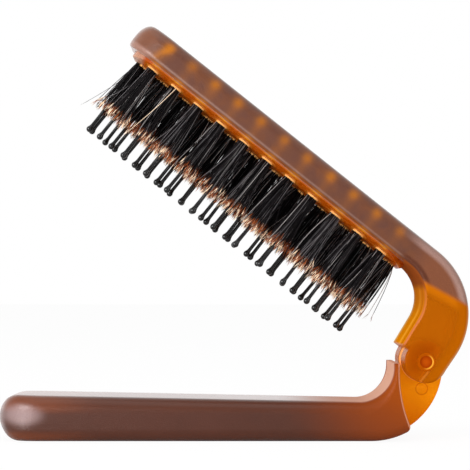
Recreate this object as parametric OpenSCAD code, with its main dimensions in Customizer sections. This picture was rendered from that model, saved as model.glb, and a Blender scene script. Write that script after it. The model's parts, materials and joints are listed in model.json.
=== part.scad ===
// Folding pocket hairbrush: a brush head that swings out of a slim handle.
// Row frame: origin at the centre of the handle's flat back, +Z up, +X from the free end
// towards the hinge, +Y across the brush. Side outlines are drawn as (x, z) about the pivot,
// with the head folded down onto the handle, and the head is then opened by open_angle.

/* [Overall] */
// Width of the head and of the handle
body_w = 20; // [19:0.5:24]
// Pivot axis to the tip of the head
head_len = 99.1; // [96:0.1:115]
// Pivot axis to the free end of the handle
handle_len = 98.3; // [90:0.1:115]
// Angle of the head above its folded position
open_angle = 38.5; // [5:0.1:180]

/* [Hinge] */
// Radius of the round cheeks about the pivot
cheek_r = 4.9; // [4.6:0.1:5.5]
// Radius of the hinge pin's shank
pin_r = 1.4; // [1.2:0.05:1.6]
// Radius of the hinge pin's head
pin_head_r = 2.1; // [1.9:0.05:2.6]
// Thickness of the hinge pin's head
pin_head_t = 0.8; // [0.6:0.1:1.5]
// Radius of the dish in the hinge pin's head
pin_dish_r = 1.4; // [1:0.05:1.6]
// Depth of the dish in the hinge pin's head
pin_dish_d = 0.3; // [0.2:0.05:0.5]
// Radial running clearance of the pin in the lug
pin_gap = 0.05; // [0.02:0.01:0.1]
// Thickness of the handle's central lug
lug_t = 4.6; // [4:0.1:6]
// Clearance between the lug and each cheek
side_gap = 0.2; // [0.2:0.05:0.4]
// Distance of the detent dimple from the pivot
detent_d = 6.6; // [6:0.1:7]
// Radius of the detent dimple's rim
detent_r = 1.4; // [1:0.1:1.6]
// Depth of the detent dimple
detent_h = 0.45; // [0.3:0.05:0.6]
// Height of the nib on each cheek that drops into the dimple
nib_h = 0.12; // [0.08:0.01:0.15]
// Radius of the nib at its foot
nib_r = 0.85; // [0.6:0.05:1]
// Height of the closing stops below the pivot
stop_h = 0.4; // [0.2:0.1:1]
// Distance of the handle's closing stop from the pivot, at its inner edge
stop_x = 7; // [6.8:0.1:7.5]
// Distance of the head's closing stop from the pivot, at its inner edge
head_stop_x = 6.5; // [6.4:0.1:7.2]
// Corner radius of the closing stops
stop_corner_r = 1.3; // [0.8:0.1:2]
// Gap left between the two closing stops when folded
stop_gap = 0.1; // [0.05:0.05:0.3]
// Gap between the cheeks and the handle's hollow end
nest_gap = 1; // [0.6:0.1:1.4]
// Radius of the hollow end that the neck nests in when fully open
nest_r = 32; // [28:0.5:40]
// Height of the hollow end's deepest point below the pivot
nest_h = 2.5; // [1:0.1:4]
// Radius of the corner where the hollow end meets the heel
nest_corner_r = 1.8; // [1:0.1:2.2]

/* [Head] */
// Height of the head's flat back above the pivot, folded
back_h = 21.65; // [20.5:0.05:24]
// Thickness of the bristle frame
frame_t = 6.85; // [6.6:0.05:7.2]
// Radius of the neck's outer bend
neck_or = 17.7; // [16.5:0.1:18.5]
// Radius of the neck's inner bend
neck_ir = 9.3; // [8.5:0.1:10]
// Lean of the neck's outer face below the bend
neck_lean = 5; // [3:0.5:7]
// Lean of the neck's inner face below the bend
neck_lean_in = 7.3; // [5:0.1:8]
// Thickness of the inner wall that closes the hinge slot
slot_wall = 1.5; // [1.3:0.05:1.5]
// Height of the slot's upper end above the pivot
slot_h = 15.8; // [15:0.1:16.5]
// Lean of the slot's upper end, which rises towards the outer side
slot_lean = 10; // [0:0.5:12]
// Corner radius of the head's tip seen from above
tip_plan_r = 8.6; // [6:0.1:9]
// Corner radius of the head's tip seen from the side
tip_side_r = 3.2; // [2:0.1:3.6]
// Flat left at the very end of the tip
tip_flat = 0.12; // [0.05:0.01:0.3]
// Edge radius round the head's back
back_edge_r = 2.9; // [2:0.1:3.2]
// Edge radius of the frame's rim round the pad
rim_edge_r = 1.3; // [0.8:0.1:1.4]

/* [Handle] */
// Height of the pivot above the handle's flat back
pivot_h = 18.3; // [18:0.1:20]
// Thickness of the handle near the hinge
handle_t = 9.1; // [8.8:0.1:9.8]
// Extra thickness of the handle at its free end
handle_swell = 1.6; // [0:0.1:1.8]
// Radius of the heel where the handle turns up to the hinge
heel_r = 17.2; // [16.8:0.1:17.8]
// Radius of the inner bend below the hinge
heel_ir = 7.9; // [7:0.1:8.4]
// Corner radius of the free end seen from above
end_plan_r = 9.4; // [7:0.1:9.4]
// Edge radius along the handle
handle_edge_r = 3.1; // [2:0.1:3.6]

/* [Bristle pad] */
// Width of the tuft plate
pad_w = 16.5; // [15.5:0.1:16.6]
// Tip of the head to the end of the tuft plate
pad_margin = 2.2; // [2:0.1:4]
// Tuft plate's other end to the start of the neck's bend
pad_neck_gap = 0.3; // [0.2:0.1:1]
// Straight part of the tuft plate's ends
pad_end_flat = 1.2; // [0.4:0.1:4]
// Radius of the tuft plate's edge at both ends
pad_end_r = 1.2; // [0.6:0.1:1.4]
// How far the tuft plate stands out of the frame
pad_proud = 1.6; // [1:0.1:3]
// Depth of the tuft plate's pocket in the frame
pocket_d = 3.0; // [2.6:0.1:3.2]
// Rise of the crowned face between the middle and the outer rows
pad_crown = 0.5; // [0.2:0.1:0.8]
// Spacing of the tufts along a row
tuft_pitch = 6.7; // [6.5:0.1:7]
// Spacing of the rows across the plate
row_pitch = 5.4; // [5.2:0.1:5.6]
// Least distance from the plate's ends to the centre of a tuft
tuft_margin = 2.6; // [2.4:0.1:3]
// Radius of a tuft at its root
tuft_r = 1.35; // [1.2:0.05:1.5]
// Radius of a tuft at its tips
tuft_tip_r = 2.75; // [2:0.05:2.9]
// Length of the bristles outside the plate
bristle_len = 14; // [10:0.1:14.4]
// Depth of a tuft's hole in the plate
hole_d = 3.6; // [3:0.1:3.8]
// Radius of a nylon pin's stem
quill_r = 0.42; // [0.3:0.02:0.46]
// Radius of a nylon pin's ball
ball_r = 0.75; // [0.55:0.05:0.85]
// Slope of the cone that widens a nylon pin's stem into its ball
quill_taper = 17; // [12:1:30]
// Gap between the balls of the two nylon pins that a middle tuft holds
quill_gap = 0.1; // [0.05:0.05:0.2]
// Direction from one of those pins to the other, from the length of the brush
quill_turn = 55; // [0:5:90]
// Length of the nylon pins outside the plate
quill_len = 19.9; // [16:0.1:20.2]
// Length of a tuft's anchor across its hole
anchor_w = 2.2; // [1.8:0.05:2.4]
// Thickness of a tuft's anchor
anchor_t = 0.4; // [0.3:0.05:0.5]
// Height of a tuft's anchor
anchor_h = 1.4; // [1:0.1:1.6]

/* [Mirror] */
// Length of the mirror
mirror_len = 66; // [40:1:70]
// Width of the mirror
mirror_w = 12.6; // [10:0.1:13]
// Thickness of the mirror glass
mirror_t = 1.0; // [0.8:0.1:1.1]
// How far the mirror's face lies below the head's back
mirror_sink = 0.05; // [0.02:0.01:0.1]
// Thickness of the adhesive pad behind the mirror
tape_t = 0.2; // [0.15:0.05:0.3]
// Inset of the adhesive pad from the mirror's edge
tape_inset = 0.8; // [0.4:0.1:2]

/* [Fits] */
// Gap between a piece and the seat that it is fixed in
seat_gap = 0.05; // [0.02:0.01:0.1]
// Gap round the mirror and round the tuft plate
rim_gap = 0.12; // [0.05:0.01:0.2]
// Edge radius of the cheeks and of the handle's hinge end
hinge_edge_r = 0.8; // [0.5:0.1:1]

/* [Hidden] */

eps = 0.01; // overlap of shapes that are joined, and fit of the pressed pin
over = 1; // how far a cutter runs past what it cuts
big = 60; // larger than any part of the hinge
half_w = body_w / 2;
// Half of the flat length between the free end and the heel: the origin is its middle.
heel_z = heel_r - pivot_h;
heel_x = -sqrt(pow(heel_r - cheek_r, 2) - pow(heel_z, 2));
flat_end_x = -handle_len + (handle_t + handle_swell) / 2;
pivot_x = -(heel_x + flat_end_x) / 2;

// Head outline, folded, about the pivot.
rim_h = back_h - frame_t;
neck_oz = back_h - neck_or;
neck_ox = (cheek_r - neck_or - sin(neck_lean) * neck_oz) / cos(neck_lean);
neck_iz = rim_h - neck_ir;
neck_ix = (-head_stop_x * cos(neck_lean_in) - stop_h * sin(neck_lean_in) - neck_ir
    - sin(neck_lean_in) * neck_iz) / cos(neck_lean_in);
slot_w = lug_t + 2 * side_gap;
// Inner face of the slot's wall where it meets the closing stop.
slot_x = head_stop_x - slot_wall;

// Handle outline about the pivot.
grip_h = -pivot_h + handle_t;
heel_iz = grip_h + heel_ir;
heel_ix = -stop_x - heel_ir;
nest_x = nest_r - cheek_r - nest_gap;
lug_inset = 0.15; // lug's edge inside the cheeks' edge
lug_root = 0.8; // how deep the lug's foot runs into the heel
pin_sink = 0.1; // pin's ends below the outer sides
nib_slope = 0.3; // how much the nib narrows towards its top
lug_r = cheek_r - lug_inset;

// Tuft plate.
pad_x0 = -head_len + pad_margin;
pad_x1 = neck_ix - pad_neck_gap;
pad_face = rim_h - pad_proud;
pad_back = rim_h + pocket_d - seat_gap;
pad_corner_r = (pad_w - pad_end_flat) / 2;
crown_r = (pow(row_pitch, 2) + pow(pad_crown, 2)) / (2 * pad_crown);
pad_mid_x = (pad_x0 + pad_x1) / 2;
tufts_middle = floor((pad_x1 - pad_x0 - 2 * tuft_margin) / tuft_pitch) + 1;
hole_end = pad_face + hole_d;
root_z = hole_end - anchor_h - seat_gap;
quill_pitch = 2 * ball_r + quill_gap;
hole_r = tuft_r + seat_gap;

// Mirror.
recess_d = mirror_t + tape_t + 2 * seat_gap + mirror_sink;
mirror_x = -head_len + (head_len + neck_ox) / 2;

RING = 7; // steps round each corner of a section
BEND = 26; // steps round each bend

// ---- helpers ---------------------------------------------------------------------------------

function mix(a, b, t) = a + (b - a) * t;
function smooth(t) = t * t * (3 - 2 * t);

// One corner of a rounded section: centre (across, up), radius and the first angle.
function corner(c, r, a0) = [for (k = [0:RING]) let (a = a0 + 90 * k / RING)
    [c[0] + r * cos(a), c[1] + r * sin(a)]];

// Rounded rectangle across (y) by up (0 at the inner edge to h at the outer edge).
function section(hw, h, ri, ro) =
    let (a = min(ri, h / 2 - eps, hw - eps), b = min(ro, h / 2 - eps, hw - eps))
    concat(corner([hw - b, h - b], b, 0), corner([-hw + b, h - b], b, 90),
        corner([-hw + a, a], a, 180), corner([hw - a, a], a, 270));

// Ring of 3-D points for one station [inner, outer, half width, inner radius, outer radius].
function ring(s) =
    let (d = s[1] - s[0], h = norm(d), e = d / h)
    [for (p = section(s[2], h, s[3], s[4])) [s[0][0] + e[0] * p[1], p[0], s[0][1] + e[1] * p[1]]];

// Skin over a list of stations, closed with a flat cap at each end. Faces are turned round
// where the outer edge is the upper one, so that they always look outwards.
module loft(stations, outer_up) {
    n = 4 * (RING + 1);
    m = len(stations);
    pts = [for (s = stations) each ring(s)];
    sides = [for (i = [0:m - 2], j = [0:n - 1])
        let (a = i * n + j, b = i * n + (j + 1) % n)
        each [[a, b, b + n], [a, b + n, a + n]]];
    first = [[for (j = [n - 1:-1:0]) j]];
    last = [[for (j = [0:n - 1]) (m - 1) * n + j]];
    faces = concat(sides, first, last);
    polyhedron(points = pts, convexity = 6,
        faces = outer_up ? [for (f = faces) [for (k = [len(f) - 1:-1:0]) f[k]]] : faces);
}

// Half width at distance d from an end whose corners have radius r in plan.
function plan_w(d, r) = half_w - r + sqrt(pow(r, 2) - pow(max(r - d, 0), 2));
// How far a rounded edge of radius r has drawn in at distance d from the end.
function drop(d, r) = r - sqrt(pow(r, 2) - pow(max(r - d, 0), 2));

// Puts a side outline drawn in (x, z) about the pivot across the width w.
module across(w) {
    rotate([90, 0, 0]) translate([0, 0, -w / 2]) linear_extrude(w) children();
}

// Solid of revolution about a line along Y through (x, z) about the pivot.
module turned(x, z) {
    translate([x, 0, z]) rotate([90, 0, 0]) rotate_extrude($fn = 96) children();
}

module at_pivot() {
    translate([pivot_x, 0, pivot_h]) children();
}

module in_head() {
    at_pivot() rotate([0, open_angle, 0]) children();
}

// ---- handle ----------------------------------------------------------------------------------

// Top of the handle: it swells a little towards the free end.
function grip_z(x) = grip_h + handle_swell * (heel_ix - x) / (handle_len + heel_ix);

// Stations from the free end, along the grip, round the heel and up to the closing stop.
function handle_stations() =
    let (re = (handle_t + handle_swell) / 2, steps = 12)
    concat(
        [for (k = [0:steps]) let (d = end_plan_r * (1 - cos(8 + 82 * k / steps)),
            x = -handle_len + d, in = drop(d, re))
            [[x, grip_z(x) - in], [x, -pivot_h + in], plan_w(d, end_plan_r),
                handle_edge_r, handle_edge_r]],
        [for (t = [0.25:0.25:0.75]) let (x = mix(-handle_len + end_plan_r, heel_ix, t))
            [[x, grip_z(x)], [x, -pivot_h], half_w, handle_edge_r, handle_edge_r]],
        [for (k = [0:BEND]) let (t = k / BEND, a = -90 + 90 * t,
            r = mix(handle_edge_r, hinge_edge_r, smooth(t)))
            [[heel_ix + heel_ir * cos(a), heel_iz + heel_ir * sin(a)],
                [heel_x + heel_r * cos(a), heel_z + heel_r * sin(a)],
                half_w, r, r]],
        [[[-stop_x, over], [heel_x + heel_r, over], half_w, hinge_edge_r, hinge_edge_r]]);

// Cutter for the hollow end that the neck nests in, with rounded edges at both sides.
module nest_cut() {
    f = hinge_edge_r;
    turned(nest_x, -nest_h) {
        translate([0, -half_w - over]) square([nest_r, body_w + 2 * over]);
        for (s = [0, 1]) mirror([0, s]) difference() {
            translate([nest_r - eps, half_w - f]) square([f + eps, f + over]);
            translate([nest_r + f, half_w - f]) circle(f, $fn = 48);
        }
    }
}

// Cutter that rounds the corner where the hollow end meets the heel.
module nest_corner_cut() {
    a = nest_r + nest_corner_r;
    b = heel_r - nest_corner_r + 5 * eps;
    d = [nest_x - heel_x, -nest_h - heel_z];
    l = norm(d);
    along = (pow(b, 2) - pow(a, 2) + pow(l, 2)) / (2 * l);
    off = sqrt(pow(b, 2) - pow(along, 2));
    c = [heel_x + (along * d[0] + off * d[1]) / l, heel_z + (along * d[1] - off * d[0]) / l];
    to_nest = ([nest_x, -nest_h] - c) / norm([nest_x, -nest_h] - c);
    to_heel = (c - [heel_x, heel_z]) / norm(c - [heel_x, heel_z]);
    r = nest_corner_r;
    across(body_w + 2 * over) difference() {
        polygon([c, c + 3 * r * to_nest, c + 4 * r * (to_nest + to_heel), c + 3 * r * to_heel]);
        translate(c) circle(r, $fn = 64);
    }
}

// Cutter that rounds both corners of a stop whose end face lies at height z; up is the side
// that the stop points to.
module stop_cut(x0, x1, z, up) {
    r = stop_corner_r;
    for (s = [-1, 1]) translate([x0, 0, z]) rotate([90, 0, 90]) linear_extrude(x1 - x0)
        difference() {
            translate([s > 0 ? half_w - r : -half_w - over, up > 0 ? -r : -over])
                square([r + over, r + over]);
            translate([s * (half_w - r), -up * r]) circle(r, $fn = 48);
        }
}

// Thin central lug: the heel's curve carried on to a round eye about the pivot.
module lug_outline() {
    circle(lug_r, $fn = 96);
    intersection() {
        translate([heel_x, heel_z]) circle(heel_r - lug_inset, $fn = 160);
        translate([nest_x, -nest_h]) circle(nest_r + lug_root, $fn = 200);
        translate([-big, -big]) square([2 * big, big + min(heel_z, 0)]);
    }
}

module dimple(side) {
    r = (pow(detent_r, 2) + pow(detent_h, 2)) / (2 * detent_h);
    translate([0, side * (lug_t / 2 + r - detent_h), -detent_d]) sphere(r, $fn = 64);
}

module handle_body() {
    color([0.46, 0.27, 0.21]) at_pivot() difference() {
        union() {
            difference() {
                loft(handle_stations(), false);
                nest_cut();
                nest_corner_cut();
                translate([-big, -big, -stop_h - stop_gap / 2]) cube([2 * big, 2 * big, big]);
                stop_cut(-stop_x - over, -cheek_r, -stop_h - stop_gap / 2, 1);
            }
            across(lug_t) lug_outline();
        }
        turned(0, 0) translate([0, -half_w]) square([pin_r + pin_gap, body_w]);
        for (side = [-1, 1]) dimple(side);
    }
}

// ---- head ------------------------------------------------------------------------------------

// Stations from the tip, along the frame, round the neck and down to the closing stop.
function head_stations() =
    let (steps = 12, x1 = mix(-head_len + tip_plan_r, neck_ix, 0.5))
    concat(
        [for (k = [0:steps]) let (d = tip_plan_r * (1 - cos(4 + 86 * k / steps)),
            x = -head_len + d, in = drop(d + tip_flat, tip_side_r))
            [[x, rim_h + drop(d, rim_edge_r)], [x, back_h - in], plan_w(d, tip_plan_r),
                rim_edge_r, back_edge_r]],
        [[[x1, rim_h], [x1, back_h], half_w, rim_edge_r, back_edge_r]],
        [for (k = [0:BEND]) let (t = k / BEND, a = mix(90, neck_lean, t),
            b = mix(90, neck_lean_in, t))
            [[neck_ix + neck_ir * cos(b), neck_iz + neck_ir * sin(b)],
                [neck_ox + neck_or * cos(a), neck_oz + neck_or * sin(a)], half_w,
                mix(rim_edge_r, hinge_edge_r, t), mix(back_edge_r, hinge_edge_r, smooth(t))]],
        [[[-head_stop_x, -stop_h + stop_gap / 2],
            [cheek_r * cos(neck_lean), -stop_h + stop_gap / 2],
            half_w, hinge_edge_r, hinge_edge_r]]);

// Round cheek about the pivot, with its edges rounded at both sides.
module cheek_disc() {
    f = hinge_edge_r;
    turned(0, 0) {
        translate([0, -half_w]) square([cheek_r - f, body_w]);
        translate([0, -half_w + f]) square([cheek_r, body_w - 2 * f]);
        intersection() {
            translate([0, -half_w]) square([cheek_r, body_w]);
            for (s = [-1, 1]) translate([cheek_r - f, s * (half_w - f)]) circle(f, $fn = 48);
        }
    }
}

// Slot for the lug: open at the outer side, closed by a wall along the neck's inner face.
module slot_outline() {
    wall_x = neck_ix + (neck_ir + slot_wall) * cos(neck_lean_in);
    wall_z = neck_iz + (neck_ir + slot_wall) * sin(neck_lean_in);
    difference() {
        translate([neck_ix, -cheek_r - over]) square(big);
        translate([0, slot_h]) rotate(slot_lean) translate([-big, 0]) square([2 * big, big]);
        translate([neck_ix, neck_iz]) circle(neck_ir + slot_wall, $fn = 128);
        polygon([[neck_ix - over, wall_z], [wall_x, wall_z], [-slot_x, -stop_h],
            [-slot_x, -cheek_r - 2 * over], [neck_ix - over, -cheek_r - 2 * over]]);
    }
}

// Plan of the tuft plate, grown by g all round.
module pad_plan(g) {
    r = pad_corner_r + g;
    hull_x = [pad_x0 - g + r, pad_x1 + g - r];
    hull_y = pad_w / 2 + g - r;
    for (x = hull_x, s = [-1, 1]) translate([x, s * hull_y]) circle(r, $fn = 96);
    translate([pad_x0 - g, -hull_y]) square([pad_x1 - pad_x0 + 2 * g, 2 * hull_y]);
    translate([hull_x[0], -pad_w / 2 - g]) square([hull_x[1] - hull_x[0], pad_w + 2 * g]);
}

// Plan of the mirror: a long shape with round ends, changed in size by g all round.
module mirror_plan(g) {
    r = mirror_w / 2 + g;
    l = mirror_len / 2 - mirror_w / 2;
    for (s = [-1, 1]) translate([mirror_x + s * l, 0]) circle(r, $fn = 96);
    translate([mirror_x - l, -r]) square([2 * l, 2 * r]);
}

// Low nibs on the insides of the cheeks, on the neck's side of the pin.
module nibs() {
    for (side = [-1, 1]) translate([0, side * (slot_w / 2 - nib_h), detent_d])
        rotate([-90 * side, 0, 0]) {
            cylinder(h = nib_h, r1 = nib_r - nib_slope, r2 = nib_r, $fn = 48);
            translate([0, 0, nib_h - eps]) cylinder(h = over, r = nib_r, $fn = 48);
        }
}

module head_frame() {
    color([0.55, 0.32, 0.2]) in_head() {
        difference() {
            union() {
                difference() {
                    loft(head_stations(), true);
                    stop_cut(-head_stop_x - over, -slot_x, -stop_h + stop_gap / 2, -1);
                }
                cheek_disc();
            }
            across(slot_w) slot_outline();
            turned(0, 0) {
                translate([0, -half_w - over]) square([pin_r + eps, body_w + 2 * over]);
                translate([0, half_w - pin_head_t - seat_gap])
                    square([pin_head_r + seat_gap, pin_head_t + over]);
            }
            translate([0, 0, rim_h - over]) linear_extrude(pocket_d + over) pad_plan(rim_gap);
            translate([0, 0, back_h - recess_d]) linear_extrude(recess_d + over)
                mirror_plan(rim_gap);
        }
        nibs();
    }
}

// Pin pressed through both cheeks, with its head sunk in the near cheek.
module hinge_pin() {
    color([0.75, 0.42, 0.1]) in_head() turned(0, 0) {
        difference() {
            union() {
                translate([0, -half_w + pin_sink]) square([pin_r, body_w - 2 * pin_sink]);
                translate([0, half_w - pin_head_t])
                    square([pin_head_r, pin_head_t - pin_sink]);
            }
            translate([-over, half_w - pin_sink - pin_dish_d]) square([pin_dish_r + over, over]);
        }
    }
}

// ---- bristle side ----------------------------------------------------------------------------

// Row numbers: -1 is nearest the viewer, 0 the middle and 1 the far row.
function row_count(row) = tufts_middle - (row == 0 ? 0 : 1);
function tuft_x(row, i) = pad_mid_x + (i - (row_count(row) - 1) / 2) * tuft_pitch;

module each_tuft(row) {
    for (i = [0:row_count(row) - 1]) translate([tuft_x(row, i), row * row_pitch, 0]) children();
}

// Side outline of the tuft plate: its edge is rounded at both ends.
module pad_side() {
    r = pad_end_r;
    translate([pad_x0, pad_face + r]) square([pad_x1 - pad_x0, pad_back - pad_face - r]);
    translate([pad_x0 + r, pad_face]) square([pad_x1 - pad_x0 - 2 * r, 2 * r]);
    for (x = [pad_x0 + r, pad_x1 - r]) translate([x, pad_face + r]) circle(r, $fn = 64);
}

module tuft_plate() {
    color([0.72, 0.38, 0.08]) in_head() difference() {
        intersection() {
            translate([0, 0, pad_face - over]) linear_extrude(pad_back - pad_face + 2 * over)
                pad_plan(0);
            across(pad_w + 2 * over) pad_side();
            translate([pad_mid_x, 0, pad_face + crown_r]) rotate([0, 90, 0])
                cylinder(h = head_len, r = crown_r, center = true, $fn = 180);
        }
        for (row = [-1:1]) each_tuft(row) translate([0, 0, pad_face - over])
            cylinder(h = hole_d + over, r = hole_r, $fn = 32);
    }
}

// Places of a tuft's nylon pins: two in the middle row, one in the others.
module each_pin(row) {
    for (s = row == 0 ? [-1, 1] : [0]) rotate(quill_turn) translate([s * quill_pitch / 2, 0, 0])
        children();
}

// Boar bristles of one row: each tuft flares from its hole and leaves room for its nylon pins.
module bristle_tufts(row) {
    tip = pad_face - bristle_len;
    color([0.13, 0.1, 0.09]) in_head() each_tuft(row) difference() {
        rotate_extrude($fn = 32)
            polygon([[0, root_z], [tuft_r, root_z], [tuft_r, pad_face], [tuft_tip_r, tip], [0, tip]]);
        each_pin(row) translate([0, 0, tip - over])
            cylinder(h = root_z - tip + 2 * over, r = quill_r + seat_gap, $fn = 24);
    }
}

// Nylon pin whose stem widens into a ball at its end.
module nylon_pin() {
    foot = ball_r * sin(quill_taper);
    neck = (ball_r - quill_r * cos(quill_taper)) / sin(quill_taper);
    translate([0, 0, pad_face - quill_len + ball_r]) {
        sphere(ball_r, $fn = 24);
        translate([0, 0, foot]) cylinder(h = neck - foot, r1 = ball_r * cos(quill_taper) - eps,
            r2 = quill_r, $fn = 24);
        cylinder(h = root_z - pad_face + quill_len - ball_r, r = quill_r, $fn = 24);
    }
}

module nylon_pins(row) {
    color([0.05, 0.05, 0.06]) in_head() each_tuft(row) each_pin(row) nylon_pin();
}

// Flat wire anchors that hold the tufts at the bottoms of their holes.
module tuft_anchors(row) {
    color([0.7, 0.7, 0.72]) in_head() each_tuft(row)
        translate([-anchor_w / 2, -anchor_t / 2, hole_end - anchor_h])
            cube([anchor_w, anchor_t, anchor_h - seat_gap]);
}

module bristle_tufts_front() { bristle_tufts(-1); }
module bristle_tufts_middle() { bristle_tufts(0); }
module bristle_tufts_rear() { bristle_tufts(1); }
module nylon_pins_front() { nylon_pins(-1); }
module nylon_pins_middle() { nylon_pins(0); }
module nylon_pins_rear() { nylon_pins(1); }
module tuft_anchors_front() { tuft_anchors(-1); }
module tuft_anchors_middle() { tuft_anchors(0); }
module tuft_anchors_rear() { tuft_anchors(1); }

// ---- mirror ----------------------------------------------------------------------------------

module mirror_tape() {
    color([0.9, 0.9, 0.88]) in_head()
        translate([0, 0, back_h - recess_d + seat_gap]) linear_extrude(tape_t)
            mirror_plan(-tape_inset);
}

module mirror_glass() {
    color([0.8, 0.85, 0.88]) in_head()
        translate([0, 0, back_h - recess_d + tape_t + 2 * seat_gap]) linear_extrude(mirror_t)
            mirror_plan(0);
}

handle_body();
head_frame();
hinge_pin();
tuft_plate();
mirror_glass();
mirror_tape();
bristle_tufts_front();
bristle_tufts_middle();
bristle_tufts_rear();
nylon_pins_front();
nylon_pins_middle();
nylon_pins_rear();
tuft_anchors_front();
tuft_anchors_middle();
tuft_anchors_rear();
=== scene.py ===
"""Finishes a folding pocket brush: frosted amber shells, boar tufts, nylon pins and mirror."""

import json
import math
import random

import bmesh
import bpy
import numpy as np
from bpy.props import FloatProperty, FloatVectorProperty, IntProperty, PointerProperty
from bpy.types import Operator, Panel, PropertyGroup
from mathutils import Euler, Matrix, Vector


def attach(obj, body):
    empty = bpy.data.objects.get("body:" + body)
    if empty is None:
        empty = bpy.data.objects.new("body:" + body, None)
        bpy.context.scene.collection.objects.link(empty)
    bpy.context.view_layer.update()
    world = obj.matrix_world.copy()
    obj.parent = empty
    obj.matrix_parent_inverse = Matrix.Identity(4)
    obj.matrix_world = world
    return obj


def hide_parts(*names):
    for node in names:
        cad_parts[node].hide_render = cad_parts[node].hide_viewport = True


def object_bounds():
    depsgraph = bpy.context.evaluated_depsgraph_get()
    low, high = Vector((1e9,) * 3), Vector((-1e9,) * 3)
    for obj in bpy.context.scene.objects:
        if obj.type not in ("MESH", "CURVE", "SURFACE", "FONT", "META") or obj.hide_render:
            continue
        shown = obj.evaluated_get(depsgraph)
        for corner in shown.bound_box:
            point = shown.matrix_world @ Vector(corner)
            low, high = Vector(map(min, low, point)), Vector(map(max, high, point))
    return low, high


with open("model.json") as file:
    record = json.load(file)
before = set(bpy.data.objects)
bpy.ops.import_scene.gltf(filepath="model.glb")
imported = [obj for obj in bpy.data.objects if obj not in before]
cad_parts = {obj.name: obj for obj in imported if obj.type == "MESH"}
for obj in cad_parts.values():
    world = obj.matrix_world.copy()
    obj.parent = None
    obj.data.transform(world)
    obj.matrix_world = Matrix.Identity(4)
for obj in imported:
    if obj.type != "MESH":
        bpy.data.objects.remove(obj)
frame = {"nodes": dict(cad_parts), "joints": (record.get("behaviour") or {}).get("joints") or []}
CAD_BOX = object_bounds()

bl_info = {
    "name": "Folding Pocket Brush",
    "version": (1, 0, 0),
    "blender": (4, 5, 0),
    "location": "View3D > Sidebar > Brush",
    "description": "Finishes the parts of a folding pocket brush and sets up its stage",
    "category": "Object",
}

MM = 0.001
# Corners of the frame's meshes that lie closer than this are one corner.
MERGE = 0.002 * MM
WHITE = (1, 1, 1, 1)

# ---- places -----------------------------------------------------------------------------------

HINGE = frame["joints"][0]
PIVOT = Vector(HINGE["pos_m"])
# How far the head stands open at rest.
OPEN_ANGLE = -math.radians(HINGE["range_deg"][0])
# Head coordinates: u along the folded head, y across it and w up from the pivot to its back.
HEAD_TURN = Euler((0, OPEN_ANGLE, 0)).to_matrix()
HEAD_PLACE = Matrix.Translation(PIVOT) @ HEAD_TURN.to_4x4()
ROWS = ("front", "middle", "rear")
# Places about the pivot in mm: the handle's hollow end, the neck's outer and inner bends (centre,
# radius and lean of the straight part below), the end of the hinge slot, half the lug's thickness
# and how far below the pivot its dimple lies.
NEST = (26.1, -2.5, 32.0)
OUTER_BEND = (-13.19, 3.95, 17.7, math.radians(5))
INNER_BEND = (-16.63, 5.5, 9.3, math.radians(7.3))
SLOT_END = 15.8
SLOT_LEAN = math.radians(10)
LUG_SIDE = 2.4
DIMPLE = 6.6


def solids_of(node):
    """The corners of each loose solid of a CAD node as (u, y, w) rows, in order along the head."""
    turn = HEAD_PLACE.inverted()
    mesh = bmesh.new()
    mesh.from_mesh(frame["nodes"][node].data)
    bmesh.ops.remove_doubles(mesh, verts=mesh.verts, dist=MERGE)
    left, found = set(mesh.verts), []
    while left:
        queue = [left.pop()]
        points = []
        while queue:
            corner = queue.pop()
            points.append(turn @ corner.co)
            near = {edge.other_vert(corner) for edge in corner.link_edges} & left
            left -= near
            queue += near
        found.append(np.array(points))
    mesh.free()
    return sorted(found, key=lambda points: points[:, 0].mean())


TUFTS = {row: solids_of("bristle_tufts_" + row) for row in ROWS}
TUFT_AXES = {
    row: [(solid.min(0) + solid.max(0))[:2] / 2 for solid in solids]
    for row, solids in TUFTS.items()
}
FIRST_TUFT = TUFT_AXES["front"][0][0]
PITCH = TUFT_AXES["front"][1][0] - FIRST_TUFT
# The plate's face in the middle, and how far its crown has dropped at the outer rows.
FACE = solids_of("tuft_plate")[0][:, 2].min()
CROWN_DROP = 0.5 * MM
# Bristles stay this much inside the brush's sides.
SIDE_ROOM = 0.9 * MM
HALF_WIDTH = CAD_BOX[1][1] - SIDE_ROOM


# ---- shader graph -----------------------------------------------------------------------------


class Value:
    """A node's socket. Where it gives a number, its operators add Math nodes."""

    def __init__(self, graph, socket):
        self.graph = graph
        self.socket = socket

    def __add__(self, other):
        return self.graph.math("ADD", self, other)

    def __sub__(self, other):
        return self.graph.math("SUBTRACT", self, other)

    def __rsub__(self, other):
        return self.graph.math("SUBTRACT", other, self)

    def __mul__(self, other):
        return self.graph.math("MULTIPLY", self, other)

    def __truediv__(self, other):
        return self.graph.math("DIVIDE", self, other)

    def __rtruediv__(self, other):
        return self.graph.math("DIVIDE", other, self)

    def __pow__(self, other):
        return self.graph.math("POWER", self, other)

    def __neg__(self):
        return self.graph.math("MULTIPLY", self, -1.0)

    __radd__ = __add__
    __rmul__ = __mul__


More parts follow.
